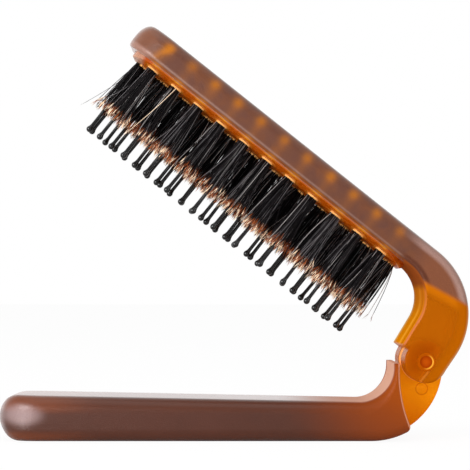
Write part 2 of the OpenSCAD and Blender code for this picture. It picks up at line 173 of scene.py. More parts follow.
class Graph:
    """The node tree of a material or world, built from expressions."""

    def __init__(self, owner):
        owner.use_nodes = True
        self.tree = owner.node_tree
        self.tree.nodes.clear()

    def node(self, kind, inputs=None, output=0, **settings):
        """Adds a node; settings go first, then its sockets' values or links."""
        made = self.tree.nodes.new(kind)
        for name, value in settings.items():
            setattr(made, name, value)
        for name, value in (inputs or {}).items():
            if isinstance(value, Value):
                self.tree.links.new(value.socket, made.inputs[name])
            elif value is not None:
                made.inputs[name].default_value = value
        return Value(self, made.outputs[output]) if made.outputs else made

    def math(self, operation, *values):
        return self.node("ShaderNodeMath", dict(enumerate(values)), operation=operation)

    def length(self, first, second):
        """How far a point lies from the origin of its two coordinates."""
        return self.math("SQRT", first * first + second * second)

    def smooth(self, value, low, high):
        """0 below low, 1 above high, and a smooth step between them."""
        return self.node(
            "ShaderNodeMapRange",
            {"Value": value, "From Min": low, "From Max": high},
            interpolation_type="SMOOTHSTEP",
        )

    def band(self, value, low, high, soft):
        """1 between low and high with soft edges."""
        above = self.smooth(value, low - soft, low + soft)
        return above * self.smooth(-value, -high - soft, -high + soft)

    def hill(self, distance, radius):
        """1 where the distance is 0, falling smoothly to nearly 0 at twice the radius."""
        share = distance / radius
        return self.math("EXPONENT", -(share * share))

    def wave(self, value, start, pitch):
        """Signed distance to the nearest of the places start + n * pitch."""
        turns = (value - start) / pitch + 0.5
        return (self.math("FRACT", turns) - 0.5) * pitch

    def past(self, u, w, bend):
        """How far a place lies outside a bend and the straight parts that lead in and out of it."""
        centre_u, centre_w, radius, lean = bend
        along, up = u - centre_u, w - centre_w
        side = along * math.cos(lean) + self.math("MINIMUM", up, 0.0) * math.sin(lean)
        side, up = self.math("MAXIMUM", side, 0.0), self.math("MAXIMUM", up, 0.0)
        return self.length(side, up) - radius

    def clamp(self, value):
        return self.node("ShaderNodeClamp", {"Value": value})

    def mix(self, factor, first, second):
        """Mixes two colours."""
        colours = {0: factor, 6: first, 7: second}
        return self.node("ShaderNodeMix", colours, output=2, data_type="RGBA")

    def layers(self, colour, coats):
        """Lays coats over a colour, each given by its mask and how it looks on screen."""
        for mask, look in coats:
            colour = self.mix(mask, colour, linear(*look))
        return colour

    def place(self, turn=0.0):
        """Millimetres from the pivot along the handle's axes, or the head's when turned."""
        return self.node(
            "ShaderNodeMapping",
            {
                "Vector": self.node("ShaderNodeTexCoord", output="Object"),
                "Location": PIVOT,
                "Rotation": (0, turn, 0),
                "Scale": (MM, MM, MM),
            },
            vector_type="TEXTURE",
        )

    def axes(self, vector):
        """The three numbers of a vector."""
        return [
            self.node("ShaderNodeSeparateXYZ", {"Vector": vector}, output=axis) for axis in "XYZ"
        ]

    def noise(self, vector, scale, detail=2.0, roughness=0.5):
        return self.node(
            "ShaderNodeTexNoise",
            {"Vector": vector, "Scale": scale, "Detail": detail, "Roughness": roughness},
        )

    def bump(self, height, strength, distance):
        return self.node(
            "ShaderNodeBump", {"Height": height, "Strength": strength, "Distance": distance},
        )

    def principled(self, inputs):
        return self.node("ShaderNodeBsdfPrincipled", inputs)

    def blend(self, factor, first, second):
        """Mixes two shaders."""
        return self.node("ShaderNodeMixShader", {0: factor, 1: first, 2: second})

    def depth(self, settings):
        """Absorption that makes thick plastic deep amber."""
        colour = tuple(settings.amber_colour) + (1,)
        return self.node(
            "ShaderNodeVolumeAbsorption", {"Color": colour, "Density": settings.amber_density},
        )

    def finish(self, surface, volume=None):
        self.node("ShaderNodeOutputMaterial", {"Surface": surface, "Volume": volume})


def linear(red, green, blue):
    """A colour given as it looks on screen, 0 to 255, as the scene stores it."""
    def one(value):
        value /= 255
        return value / 12.92 if value <= 0.04045 else ((value + 0.055) / 1.055) ** 2.4

    return (one(red), one(green), one(blue), 1.0)


def begun(name, turn=0.0):
    """A new material, its graph and its places in millimetres about the pivot."""
    material = bpy.data.materials.new(name)
    graph = Graph(material)
    return material, graph, graph.place(turn)


# ---- materials --------------------------------------------------------------------------------


def clear_amber(graph, place, tint=WHITE):
    """Polished part of a shell, which light passes through."""
    cloud = graph.noise(place, 0.35, 2.0)
    return graph.principled({
        "Base Color": graph.mix(cloud * 0.3, tint, linear(255, 236, 200)),
        "Roughness": 0.08 + cloud * 0.1,
        "IOR": 1.49,
        "Specular Tint": (0.2, 0.08, 0.01, 1.0),
        "Transmission Weight": 1.0,
        "Normal": graph.bump(cloud, 0.2, 0.1 * MM),
    })


def frosted(graph, place, colour, gloss=1.0):
    """Frosted shell skin, glossier where seen along its surface, with a painted pale sheen there."""
    grain = graph.noise(place, 3.0, 3.0, 0.65)
    grazing = graph.node("ShaderNodeLayerWeight", {"Blend": 0.5}, output="Facing")
    return graph.principled({
        "Base Color": graph.layers(colour, (
            (grain * 0.35, (24, 8, 4)),
            # Painted pale sheen where the surface is seen along it.
            (graph.smooth(grazing, 0.84, 0.98) * 0.6, (218, 172, 168)),
        )),
        "Roughness": 0.3 + grain * 0.1,
        "IOR": 1.5,
        "Specular IOR Level": 0.35,
        "Coat Weight": (graph.smooth(grazing, 0.4, 0.9) * 0.8 + 0.1) * gloss,
        "Coat Roughness": 0.2,
        "Normal": graph.bump(grain, 0.6, 0.1 * MM),
    })


def painted_glow_amber(graph, colour, cloud):
    """Satin amber with a painted glow that stands in for light inside the plastic."""
    return graph.principled({
        "Base Color": colour,
        "Roughness": 0.45 + cloud * 0.1,
        "Specular IOR Level": 0.0,
        "Emission Color": colour,
        "Emission Strength": 0.3,
    })


def handle_plastic(settings):
    """Frosted grip that turns orange towards the hinge, with a painted glow there, and a clear lug.
    """
    material, graph, place = begun("frosted handle plastic")
    x, y, z = graph.axes(place)
    haze = graph.noise(place, 0.16, 3.0, 0.55)
    away = graph.length(x, z)
    near = graph.smooth(-away, -36.0, -12.0)
    colour = grip_colour(graph, haze, x, z, near, away)
    skin = frosted(graph, place, colour, 1.0 - near * 0.9)
    # Towards the hinge the skin gives way to a painted glow.
    skin = graph.blend(near * 0.75, skin, painted_glow_amber(graph, colour, haze))
    # The hollow beside the hinge has a painted pale glow between its side edges.
    aside = graph.math("ABSOLUTE", y)
    glow = near * graph.smooth(-aside, -8.3, -6.9) * graph.smooth(z, -13.5, -11.5) * 0.85
    skin = graph.blend(glow, skin, painted_glow_amber(graph, linear(207, 162, 140), haze))
    # A painted pale highlight runs along the hollow's edge, and the lug stands inside it.
    nest_x, nest_z, nest_r = NEST
    hollow = graph.length(x - nest_x, z - nest_z)
    edge_highlight = graph.band(hollow, nest_r + 0.1, nest_r + 0.4, 0.12) * graph.smooth(aside, 6.0, 8.5)
    skin = graph.blend(edge_highlight * 0.7, skin, painted_glow_amber(graph, linear(214, 150, 118), haze))
    lug = graph.smooth(-hollow, -nest_r - 0.05, -nest_r + 0.05)
    inside = graph.smooth(-aside, -LUG_SIDE - 0.05, -LUG_SIDE + 0.05)
    shell = graph.blend(lug * inside, skin, lug_amber(graph, place, haze, x, z, away))
    # The rim round the lug's eye has a painted highlight on the side of the grip.
    rim = graph.band(away, 4.55, 4.95, 0.1) * graph.smooth(-x, -1.0, 2.0) * inside
    bright = graph.mix(haze, linear(236, 160, 90), linear(246, 180, 116))
    graph.finish(graph.blend(rim, shell, painted_glow_amber(graph, bright, haze)), graph.depth(settings))
    return material


def grip_colour(graph, haze, x, z, near, away):
    """Colours of the handle's skin from free end to hinge, with painted highlights and shade."""
    # Painted shade: more saturated along the top and bottom edges, warmer near the free end.
    edge = graph.math("MAXIMUM", graph.smooth(-z, 15.2, 17.4), graph.smooth(z, -12.2, -10.6))
    # A painted highlight round the free end, half way up.
    across, up = (x + 92.0) / 4.6, (z + 12.1) / 2.3
    pale = graph.math("EXPONENT", -(across * across + up * up) ** 2.0)
    return graph.layers(graph.mix(haze, linear(78, 37, 20), linear(90, 44, 26)), (
        (edge * 0.6, (92, 40, 12)),
        (edge * graph.smooth(-x, 72.0, 90.0) * 0.6, (140, 68, 30)),
        (pale * 0.75, (186, 156, 154)),
        # A painted pale highlight on the very end.
        (graph.smooth(-x, 95.6, 98.0) * 0.7, (170, 140, 136)),
        # Orange towards the hinge: partly the thin plastic's own amber, partly painted glow.
        (near, (134, 60, 18)),
        (graph.smooth(-away, -16.0, -8.0), (149, 66, 8)),
    ))


def lug_amber(graph, place, haze, x, z, away):
    """Clear lug with a painted glow from inside and painted shade round the rim of its dimple."""
    tint = graph.mix(graph.smooth(away, 4.6, 5.2), WHITE, linear(255, 150, 10))
    dent = graph.length(x, z + DIMPLE)
    amber = graph.mix(graph.smooth(-away, -15.0, -6.0), linear(220, 120, 2), linear(240, 152, 8))
    amber = graph.mix(graph.band(dent, 1.25, 1.5, 0.12) * 0.6, amber, linear(176, 80, 2))
    return graph.blend(0.68, clear_amber(graph, place, tint), painted_glow_amber(graph, amber, haze))


def head_plastic(settings):
    """Frosted frame with painted glows over the tufts, and a clear neck below the slot's end."""
    material, graph, place = begun("frosted head plastic", OPEN_ANGLE)
    u, y, w = graph.axes(place)
    haze = graph.noise(place, 0.2, 3.0, 0.55)
    outer, inner = graph.past(u, w, OUTER_BEND), graph.past(u, w, INNER_BEND)
    below = SLOT_END + u * math.tan(SLOT_LEAN) - w
    # The neck: painted pale highlight on its outer side, painted dark shade on its inner side.
    colour = graph.layers(frame_colour(graph, place, haze, u, w), (
        (graph.smooth(u, -20.0, -12.0), (136, 76, 44)),
        (graph.band(outer, -2.1, -0.6, 0.6) * graph.smooth(u, -24.0, -15.0) * 0.8, (186, 146, 134)),
    ))
    # Painted dark shade along the neck's inner side.
    deep = graph.mix(graph.smooth(w, 11.5, 13.8), linear(160, 82, 14), linear(98, 42, 8))
    near = graph.smooth(-inner, -2.0, -1.3) * graph.smooth(u, -20.5, -18.0)
    colour = graph.mix(near, colour, deep)
    # Below the slot's end the skin turns orange and gives way to clear plastic with a painted glow.
    colour = graph.mix(graph.smooth(below, -1.1, 0.4), colour, linear(178, 90, 6))
    lit = painted_glow_amber(graph, neck_amber(graph, u, w, outer, below), haze)
    clearness = graph.smooth(below, 0.4, 2.6) * graph.smooth(-outer, 1.6, 3.4) * 0.45
    clear = graph.blend(clearness, lit, clear_amber(graph, place))
    neck = graph.smooth(below, -0.7, 0.5) * graph.smooth(u, -14.0, -11.5)
    shell = graph.blend(neck, frosted(graph, place, colour), clear)
    # The neck's concave side, with painted streaks, highlights, shade and glow.
    wall = graph.smooth(-inner, -0.5, -0.3) * graph.smooth(u, -19.2, -17.8)
    wall = wall * graph.smooth(w, -0.6, 0.2)
    cloud = graph.noise(place, 0.6, 2.0)
    glow = painted_glow_amber(graph, inner_wall(graph, cloud, y, w), cloud)
    graph.finish(graph.blend(wall, shell, glow), graph.depth(settings))
    return material


def frame_colour(graph, place, haze, u, w):
    """Colours of the head's frame: its skin, the painted light from the tuft holes, its rim and tip.
    """
    warm = graph.smooth(graph.noise(place, 0.28, 2.0), 0.45, 0.7)
    # Painted light from the tuft holes: a glow near the back and a streak below it.
    column = graph.hill(graph.wave(u, FIRST_TUFT / MM + 0.4, PITCH / MM), 1.25)
    rise = graph.hill(w - 19.6, 1.25) * 0.9 + graph.band(w, 15.0, 19.0, 1.2) * 0.2
    change = graph.smooth(graph.noise(place, 0.11, 1.0), 0.3, 0.6) * 0.35 + 0.65
    along = graph.smooth(u, -93.5, -91.0) * graph.smooth(-u, 19.5, 22.5)
    # The first one, at the tip, leans and is longer.
    lean = graph.smooth(w, 15.6, 20.2) * 1.7
    first = graph.hill(u + 91.3 - lean, 1.0) * graph.band(w, 15.4, 20.3, 0.8)
    first = first * (graph.smooth(w, 16.5, 19.0) * 0.4 + 0.45)
    # The rim round the plate is orange, with painted glints at each tuft and two painted pale lines.
    line = graph.band(w, 15.35, 15.75, 0.2) * (1.0 - graph.smooth(u, -98.0, -20.0) * 0.5)
    rim = graph.smooth(-w, -15.35, -15.0)
    second = graph.band(w, 14.7, 14.9, 0.1) * (1.0 - graph.smooth(u, -80.0, -25.0) * 0.4)
    # The tip is paler; where its rim turns under it has a painted pale reflection.
    tip_underside_reflection = graph.smooth(-u, 91.0, 93.5) * graph.smooth(-w, -16.6, -15.6)
    return graph.layers(graph.mix(haze, linear(100, 58, 47), linear(118, 68, 42)), (
        (warm * 0.4, (136, 74, 30)),
        (graph.clamp(column * rise * change * along), (190, 108, 2)),
        (first, (210, 122, 2)),
        (line * 0.5, (196, 156, 140)),
        (rim * 0.85, (166, 84, 12)),
        (rim * column * 0.8, (204, 120, 10)),
        (second * 0.4, (196, 146, 126)),
        (graph.smooth(-u, 91.5, 98.0), (134, 78, 48)),
        (tip_underside_reflection * 0.7, (180, 134, 118)),
    ))


def neck_amber(graph, u, w, outer, below):
    """Amber of the neck and cheeks; the outer side is darker, with a painted pale highlight at its
    edge.
    """
    # The cheeks are darker round the pin, with a pale streak beside it.
    low = graph.smooth(-graph.length(u, w), -6.6, -2.6) * graph.smooth(-u, -3.2, 1.5)
    streak = graph.band(u, 1.55, 1.95, 0.2) * graph.band(w, -5.2, -1.4, 0.5)
    amber = graph.mix(graph.smooth(below, 0.0, 3.5), linear(180, 96, 6), linear(188, 102, 6))
    return graph.layers(amber, (
        (graph.smooth(outer, -3.6, -1.8), (162, 82, 2)),
        (graph.smooth(outer, -0.8, -0.1), (186, 126, 78)),
        (low * 0.8, (156, 70, 2)),
        (streak * 0.55, (232, 146, 56)),
    ))


def inner_wall(graph, cloud, y, w):
    """Colours of the neck's concave side, all painted light: streaks from its walls, edge
    highlights, shade.
    """
    return graph.layers(graph.mix(cloud, linear(198, 114, 2), linear(210, 126, 8)), (
        (graph.band(y, -3.4, -0.6, 0.5), (220, 146, 36)),
        (graph.band(y, -6.9, -6.0, 0.4) * 0.8, (146, 72, 2)),
        (graph.smooth(y, 5.0, 9.5), (212, 172, 104)),
        (graph.smooth(-y, 9.0, 9.5), (190, 108, 62)),
        (graph.smooth(w, 6.0, 12.0) * 0.7, (176, 96, 20)),
        (graph.smooth(w, 12.2, 13.6), (132, 66, 26)),
    ))


def black_nylon():
    """Polished black pins, barely worn."""
    material, graph, place = begun("black nylon")
    wear = graph.noise(place, 1.5, 2.0)
    graph.finish(graph.principled({
        "Base Color": graph.mix(wear, linear(2, 2, 3), linear(8, 7, 8)),
        "Roughness": 0.06 + wear * 0.08,
        "IOR": 1.5,
        "Normal": graph.bump(wear, 0.2, 0.02 * MM),
    }))
    return material


def boar_bristle(settings):
    """Near-black bristles, some grey or blond, with rusty and cream split tips that have a painted
    glow.
    """
    material = bpy.data.materials.new("boar bristle")
    graph = Graph(material)
    along, tone = (
        graph.node("ShaderNodeAttribute", output="Fac", attribute_name=name)
        for name in ("along", "tone")
    )
    # Two more numbers that differ from strand to strand.
    second = graph.math("FRACT", tone * 7.31)
    third = graph.math("FRACT", tone * 13.7)
    # Grey strands are partly the bristles' own tone and partly painted highlight lines.
    body = graph.layers(graph.mix(tone, linear(8, 6, 8), linear(50, 46, 48)), (
        (graph.smooth(second, 0.82, 0.86), (128, 124, 126)),
        (graph.smooth(third, 0.955, 0.97), (196, 190, 188)),
    ))
    tip = along - second * 0.1
    rust = graph.smooth(tip, 0.79, 0.87) * graph.smooth(-third, -0.76, -0.7)
    copper = graph.mix(second, linear(84, 33, 18), tuple(settings.tip_colour) + (1,))
    split = graph.smooth(tip, 0.86, 0.92) * graph.smooth(-third, -0.38, -0.34)
    pale = tuple(settings.tip_pale) + (1,)
    graph.finish(graph.principled({
        "Base Color": graph.mix(split, graph.mix(rust, body, copper), pale),
        "Roughness": 0.5 + rust * 0.1,
        "IOR": 1.5,
        "Specular IOR Level": 0.05,
        # A painted glow on the rusty and pale tips.
        "Emission Color": graph.mix(split, graph.mix(rust * 0.35, (0, 0, 0, 1), copper), pale),
        "Emission Strength": 0.55,
    }))
    return material


def amber_plastic(settings):
    """Tuft plate: red amber with a painted bright ring where each tuft leaves it."""
    material, graph, place = begun("amber plate plastic", OPEN_ANGLE)
    u, y, w = graph.axes(place)
    cloud = graph.noise(place, 0.5, 3.0, 0.6)
    aside = graph.math("ABSOLUTE", y)
    # Painted bright rings round the tuft roots on the plate's face.
    rings = []
    for row, across in (("front", aside), ("middle", y)):
        first_u, first_y = TUFT_AXES[row][0] / MM
        along = graph.wave(u, first_u, PITCH / MM)
        away = graph.length(along, across - abs(first_y))
        rings.append(graph.smooth(-away, -2.7, -1.5))
    glow = graph.math("MAXIMUM", *rings) * graph.smooth(-w, -14.3, -13.9)
    # The plate's side has a painted glow at each tuft and a painted pale line where it meets the
    # frame.
    side = graph.smooth(aside, 7.9, 8.2)
    lamp = graph.hill(graph.wave(u, FIRST_TUFT / MM, PITCH / MM), 1.5)
    line = side * graph.smooth(w, 14.55, 14.7) * (1.0 - graph.smooth(u, -80.0, -25.0) * 0.4)
    graph.finish(graph.principled({
        "Base Color": graph.layers(graph.mix(cloud, linear(176, 68, 2), linear(212, 100, 6)), (
            (glow * 0.6, (236, 150, 50)),
            (side * 0.5, (196, 96, 10)),
            (side * lamp, (222, 140, 20)),
            (line * 0.6, (196, 142, 118)),
            (graph.smooth(-u, 92.8, 94.2) * 0.8, (208, 160, 134)),
        )),
        "Roughness": 0.2 + cloud * 0.15,
        "IOR": 1.5,
        "Specular IOR Level": 0.15,
        "Transmission Weight": settings.plate_clearness,
        "Normal": graph.bump(cloud, 0.15, 0.05 * MM),
    }), graph.depth(settings))
    return material


def collar_amber():
    """Flash that stands round each tuft where it leaves the plate, bright with a painted glow."""
    material, graph, place = begun("amber collar plastic")
    cloud = graph.noise(place, 1.2, 2.0)
    colour = graph.mix(cloud, linear(226, 146, 66), linear(240, 190, 124))
    graph.finish(painted_glow_amber(graph, colour, cloud))
    return material


def pin_amber(settings):
    """Clear pivot pin whose dished heads have a painted glow and a painted highlight round a darker
    middle.
    """
    material, graph, place = begun("amber pin plastic")
    x, y, z = graph.axes(place)
    cloud = graph.noise(place, 0.8, 2.0)
    radius = graph.length(x, z)
    dish = graph.mix(graph.smooth(radius, 0.2, 1.4), linear(178, 74, 8), linear(160, 58, 2))
    dish = graph.mix(graph.smooth(radius, 1.7, 1.9), dish, linear(170, 80, 2))
    # A painted highlight on the right side of the ring.
    ring_highlight_side = graph.smooth(x - z * 0.3, -0.4, 1.6)
    ring = graph.mix(ring_highlight_side, linear(172, 80, 2), linear(238, 168, 52))
    colour = graph.mix(graph.band(radius, 1.42, 1.72, 0.12), dish, ring)
    head = graph.smooth(graph.math("ABSOLUTE", y), 9.0, 9.3) * 0.85
    shell = graph.blend(head, clear_amber(graph, place), painted_glow_amber(graph, colour, cloud))
    graph.finish(shell, graph.depth(settings))
    return material


def mirror_silver():
    """Silvered glass with a faint cloud."""
    material, graph, place = begun("silvered mirror")
    cloud = graph.noise(place, 0.08, 3.0)
    graph.finish(graph.principled({
        "Base Color": graph.mix(cloud, linear(232, 236, 238), linear(222, 228, 231)),
        "Metallic": 1.0,
        "Roughness": 0.02 + cloud * 0.03,
        "Coat Weight": 0.6,
        "Coat Roughness": 0.02,
    }))
    return material


def pad_foam():
    """White foam tape with open cells."""
    material, graph, place = begun("white foam tape")
    cells = graph.noise(place, 5.0, 3.0)
    graph.finish(graph.principled({
        "Base Color": graph.mix(cells, linear(214, 212, 206), linear(236, 235, 230)),
        "Roughness": 0.9,
        "Normal": graph.bump(cells, 0.5, 0.05 * MM),
    }))
    return material


def anchor_steel():
    """Drawn galvanised wire."""
    material, graph, place = begun("anchor wire")
    grain = graph.noise(place, 8.0, 2.0)
    graph.finish(graph.principled({
        "Base Color": graph.mix(grain, linear(176, 178, 182), linear(204, 205, 208)),
        "Metallic": 1.0,
        "Roughness": 0.3 + grain * 0.15,
    }))
    return material


# ---- mesh helpers -----------------------------------------------------------------------------

# Edges sharper than this stay sharp on the shells, and on what is turned on the lathe.
SHELL_CREASE = math.radians(32)
LATHE_CREASE = math.radians(50)


def deselect():
    """Leaves edit mode with nothing selected."""
    if bpy.context.object and bpy.context.object.mode != "OBJECT":
        bpy.ops.object.mode_set(mode="OBJECT")
    bpy.ops.object.select_all(action="DESELECT")


def pick(obj):
    """Makes an object the active one and the only one selected."""
    deselect()
    obj.select_set(True)
    bpy.context.view_layer.objects.active = obj


def linked(name, data):
    """A new object in the scene."""
    obj = bpy.data.objects.new(name, data)
    bpy.context.scene.collection.objects.link(obj)
    return obj


def paint(obj, material):
    """Gives an object one material, all over."""
    obj.data.materials.clear()
    obj.data.materials.append(material)


def smooth_copy(node, name):
    """A piece with a CAD node's shape, its loose triangles merged and its curves shaded smooth."""
    piece = linked(name, frame["nodes"][node].data.copy())
    pick(piece)
    bpy.ops.object.mode_set(mode="EDIT")
    bpy.ops.mesh.select_all(action="SELECT")
    bpy.ops.mesh.remove_doubles(threshold=MERGE)
    bpy.ops.object.mode_set(mode="OBJECT")
    if piece.data.has_custom_normals:
        bpy.ops.mesh.customdata_custom_splitnormals_clear()
    bpy.ops.object.shade_smooth_by_angle(angle=SHELL_CREASE)
    bpy.ops.object.modifier_add(type="WEIGHTED_NORMAL")
    piece.modifiers[-1].keep_sharp = True
    bpy.ops.object.modifier_apply(modifier=piece.modifiers[-1].name)
    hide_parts(node)
    return piece


def lathe(name, profile, sides):
    """Turns (height, radius) pairs in millimetres into a closed piece that stands on the origin."""
    deselect()
    bpy.ops.mesh.primitive_circle_add(vertices=sides, radius=profile[0][1] * MM, fill_type="NGON")
    piece = bpy.context.object
    piece.name = name
    bpy.ops.object.mode_set(mode="EDIT")
    bpy.ops.mesh.select_all(action="SELECT")
    bpy.ops.transform.translate(value=(0, 0, profile[0][0] * MM))
    for (low, thin), (high, wide) in zip(profile, profile[1:]):
        bpy.ops.mesh.extrude_region_move(TRANSFORM_OT_translate={"value": (0, 0, (high - low) * MM)})
        share = wide / thin
        bpy.ops.transform.resize(value=(share, share, 1), center_override=(0, 0, high * MM))
    bpy.ops.mesh.select_all(action="SELECT")
    bpy.ops.mesh.normals_make_consistent(inside=False)
    bpy.ops.object.mode_set(mode="OBJECT")
    bpy.ops.object.shade_smooth_by_angle(angle=LATHE_CREASE)
    return piece


def repeated(pattern, name, places):
    """One piece made of copies of a pattern, one at each place; the pattern itself goes."""
    copies = []
    for place in places:
        copy = linked(pattern.name, pattern.data.copy())
        copy.data.transform(place)
        copies.append(copy)
    bpy.data.objects.remove(pattern)
    deselect()
    for copy in copies:
        copy.select_set(True)
    bpy.context.view_layer.objects.active = copies[0]
    bpy.ops.object.join()
    copies[0].name = name
    return copies[0]


# ---- settings ---------------------------------------------------------------------------------


class BrushSettings(PropertyGroup):
    """Sizes and colours that a user may change."""

    plate_clearness: FloatProperty(
        name="Plate clearness", description="How much light passes through the tuft plate",
        default=0.1, min=0, max=1, subtype="FACTOR",
    )
    amber_colour: FloatVectorProperty(
        name="Amber", description="Colour of light that has passed through the plastic",
        subtype="COLOR", default=(0.93, 0.67, 0.0), min=0, max=1,
    )
    amber_density: FloatProperty(
        name="Amber density", description="How fast the plastic takes up light, per metre",
        default=351.0, min=0,
    )
    strands: IntProperty(
        name="Strands", description="Bristles in a tuft", default=92, min=10, max=200,
    )
    strand_radius: FloatProperty(
        name="Strand radius", description="Radius of a bristle at its root",
        default=0.1 * MM, min=0, unit="LENGTH", precision=6,
    )
    strand_spread: FloatProperty(
        name="Length spread", description="How much the bristles differ in length",
        default=0.6 * MM, min=0, unit="LENGTH", precision=5,
    )
    pin_lean: FloatProperty(
        name="Pin lean", description="How much the nylon pins lean, as a standard deviation",
        default=math.radians(1.1), min=0, unit="ROTATION",
    )
    tip_colour: FloatVectorProperty(
        name="Tips", description="Colour of the bristles' split tips", subtype="COLOR",
        default=(0.60, 0.16, 0.045), min=0, max=1,
    )
    tip_pale: FloatVectorProperty(
        name="Tips, pale", description="Colour of the palest split tips", subtype="COLOR",
        default=(1.0, 0.78, 0.56), min=0, max=1,
    )
    lamp_power: FloatProperty(
        name="Key lamp", description="Power of the soft key lamp", default=3.3, min=0,
        unit="POWER",
    )
    camera_distance: FloatProperty(
        name="Camera distance", description="Camera to the middle of the brush",
        default=323 * MM, min=0.1, unit="LENGTH",
    )


# ---- shells, plate, collars, pins and mirror --------------------------------------------------


class BRUSH_OT_shells(Operator):
    """Finish the handle and the head's frame in frosted amber plastic"""

    bl_idname = "brush.shells"
    bl_label = "Shells"

    def execute(self, context):
        for node, name, body, plastic in (
            ("handle_body", "handle_shell", "handle", handle_plastic),
            ("head_frame", "head_shell", "brush_head", head_plastic),
        ):
            piece = smooth_copy(node, name)
            paint(piece, plastic(context.scene.brush))
            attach(piece, body)
        return {"FINISHED"}


class BRUSH_OT_fittings(Operator):
    """Finish the tuft plate, the hinge pin and the anchors"""

    bl_idname = "brush.fittings"
    bl_label = "Fittings"

    def execute(self, context):
        for node, name, plastic in (
            ("tuft_plate", "plate", amber_plastic),
            ("hinge_pin", "pivot_pin", pin_amber),
        ):
            piece = smooth_copy(node, name)
            paint(piece, plastic(context.scene.brush))
            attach(piece, "brush_head")
        steel = anchor_steel()
        for row in ROWS:
            paint(frame["nodes"]["tuft_anchors_" + row], steel)
        return {"FINISHED"}


# Heights above the plate and radii of a collar, in mm.
COLLAR = ((-0.2, 1.36), (0.0, 1.5), (0.13, 1.48), (0.21, 1.38), (0.24, 1.25))
COLLAR_SIDES = 20


class BRUSH_OT_collars(Operator):
    """Raise a low collar round each tuft, where its anchor pushed the plate's plastic up"""

    bl_idname = "brush.collars"
    bl_label = "Tuft collars"

    def execute(self, context):
        places = []
        for row in ROWS:
            face = FACE + (CROWN_DROP if row != "middle" else 0)
            for u, y in TUFT_AXES[row]:
                root = Matrix.Translation((u, y, face))
                places.append(HEAD_PLACE @ root @ Matrix.Rotation(math.pi, 4, "X"))
        piece = repeated(lathe("collar", COLLAR, COLLAR_SIDES), "tuft_collars", places)
        paint(piece, collar_amber())
        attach(piece, "brush_head")
        return {"FINISHED"}


PIN_SEED = 11
PIN_SIDES = 14
# The slice at a pin's root in which its stem's radius is measured.
PIN_SLICE = 0.1 * MM
# A pin's stem: shares of the pin's length, and of the stem's radius there.
PIN_STEM = ((0, 1), (0.45, 1), (0.8, 0.98))
# Its shoulder: millimetres below the ball's middle, and shares of the stem's radius.
PIN_SHOULDER = ((1.15, 1.02), (0.85, 1.16))
# Its ball: the degrees at which its rings lie, and its flat top as a share of its radius.
BALL_RINGS = range(-38, 82, 15)
BALL_TOP = 0.08


class BRUSH_OT_pins(Operator):
    """Set a nylon pin at each of the CAD pins' places, leaning a little as the real ones do"""

    bl_idname = "brush.pins"
    bl_label = "Nylon pins"

    def execute(self, context):
        spread = context.scene.brush.pin_lean
        nylon = black_nylon()
        dice = random.Random(PIN_SEED)
        for row in ROWS:
            node = "nylon_pins_" + row
            solids = solids_of(node)
            places = []
            for solid in solids:
                low, high = solid.min(0), solid.max(0)
                root = Vector(((low[0] + high[0]) / 2, (low[1] + high[1]) / 2, high[2]))
                lean = Euler((dice.gauss(0, spread), math.pi + dice.gauss(0, spread), 0))
                places.append(HEAD_PLACE @ Matrix.Translation(root) @ lean.to_matrix().to_4x4())
            piece = repeated(self.pattern(solids[0]), "pins_" + row, places)
            paint(piece, nylon)
            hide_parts(node)
            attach(piece, "brush_head")
        return {"FINISHED"}

    def pattern(self, solid):
        """One pin with its root at the origin and its ball at the top."""
        length = (solid[:, 2].max() - solid[:, 2].min()) / MM
        ball_r = (solid[:, 1].max() - solid[:, 1].min()) / 2 / MM
        top = solid[solid[:, 2] > solid[:, 2].max() - PIN_SLICE]
        stem_r = (top[:, 1].max() - top[:, 1].min()) / 2 / MM
        middle = length - ball_r
        profile = [(length * share, stem_r * width) for share, width in PIN_STEM]
        profile += [(middle - drop, stem_r * width) for drop, width in PIN_SHOULDER]
        for degrees in BALL_RINGS:
            turn = math.radians(degrees)
            profile.append((middle + ball_r * math.sin(turn), ball_r * math.cos(turn)))
        profile.append((length, ball_r * BALL_TOP))
        return lathe("pin", profile, PIN_SIDES)


class BRUSH_OT_mirror(Operator):
    """Finish the mirror and its tape"""

    bl_idname = "brush.mirror"
    bl_label = "Mirror"

    def execute(self, context):
        paint(frame["nodes"]["mirror_glass"], mirror_silver())
        paint(frame["nodes"]["mirror_tape"], pad_foam())
        return {"FINISHED"}


# ---- bristles ---------------------------------------------------------------------------------

BRISTLE_SEED = 7
STRAND_POINTS = 7
SIDES = 3
# Share of its thickness that a bristle loses towards its tip.
TAPER = 0.3
# How late a row's bristles fan out, how grey they get and how wide their bundles start.
FRONT_ROW = (1.35, 1.0, 1.0)
# The middle and rear rows are held darker, as painted shade.
OTHER_ROWS = (0.65, 0.45, 1.15)
# How deep in the plate bristles start, and how deep a tuft's root is measured.
ROOT_DEPTH = 0.9 * MM
ROOT_SLICE = 0.2 * MM
# How much shorter or longer than its tuft a bristle may be, and what the trimming took.
SHORTER = 3.2 * MM
LONGER = 1.2 * MM
TRIMMED = 0.2 * MM
# How much tips vary in distance from their tuft's axis and in turn round it, in radians, and how
# much bristles bow, in mm.
TIP_SPREAD = 0.45 * MM
TIP_TURN = 0.3
BOW = 0.25
# Share of a bristle's thickness that its split ends start with, and how far apart they end.
SPLIT_START = 0.8
SPLIT_SPREAD = 0.25 * MM
# Some bristles stray this many millimetres farther out than the rest.
STRAYS = (0.4, 0.8, 1.2, 1.8, 4.0)
STRAY_SHARE = 0.06
# Hairs that have left their tuft: row, place in it, corners, tone and shares along. Then the
# share of a bristle's thickness that they start with.
LOOSE_HAIRS = (
    ("middle", 0, ((-0.4, -0.6, 0.5), (-0.9, -0.9, -5.0), (-5.6, -1.2, -16.4)), 0.125, (0.0, 0.6)),
    ("front", 1, ((0.2, -1.4, 0.5), (-0.1, -3.4, -6.2), (-2.5, -3.6, -16.6)), 0.0215, (0.95, 0.95)),
)
LOOSE_START = 0.8


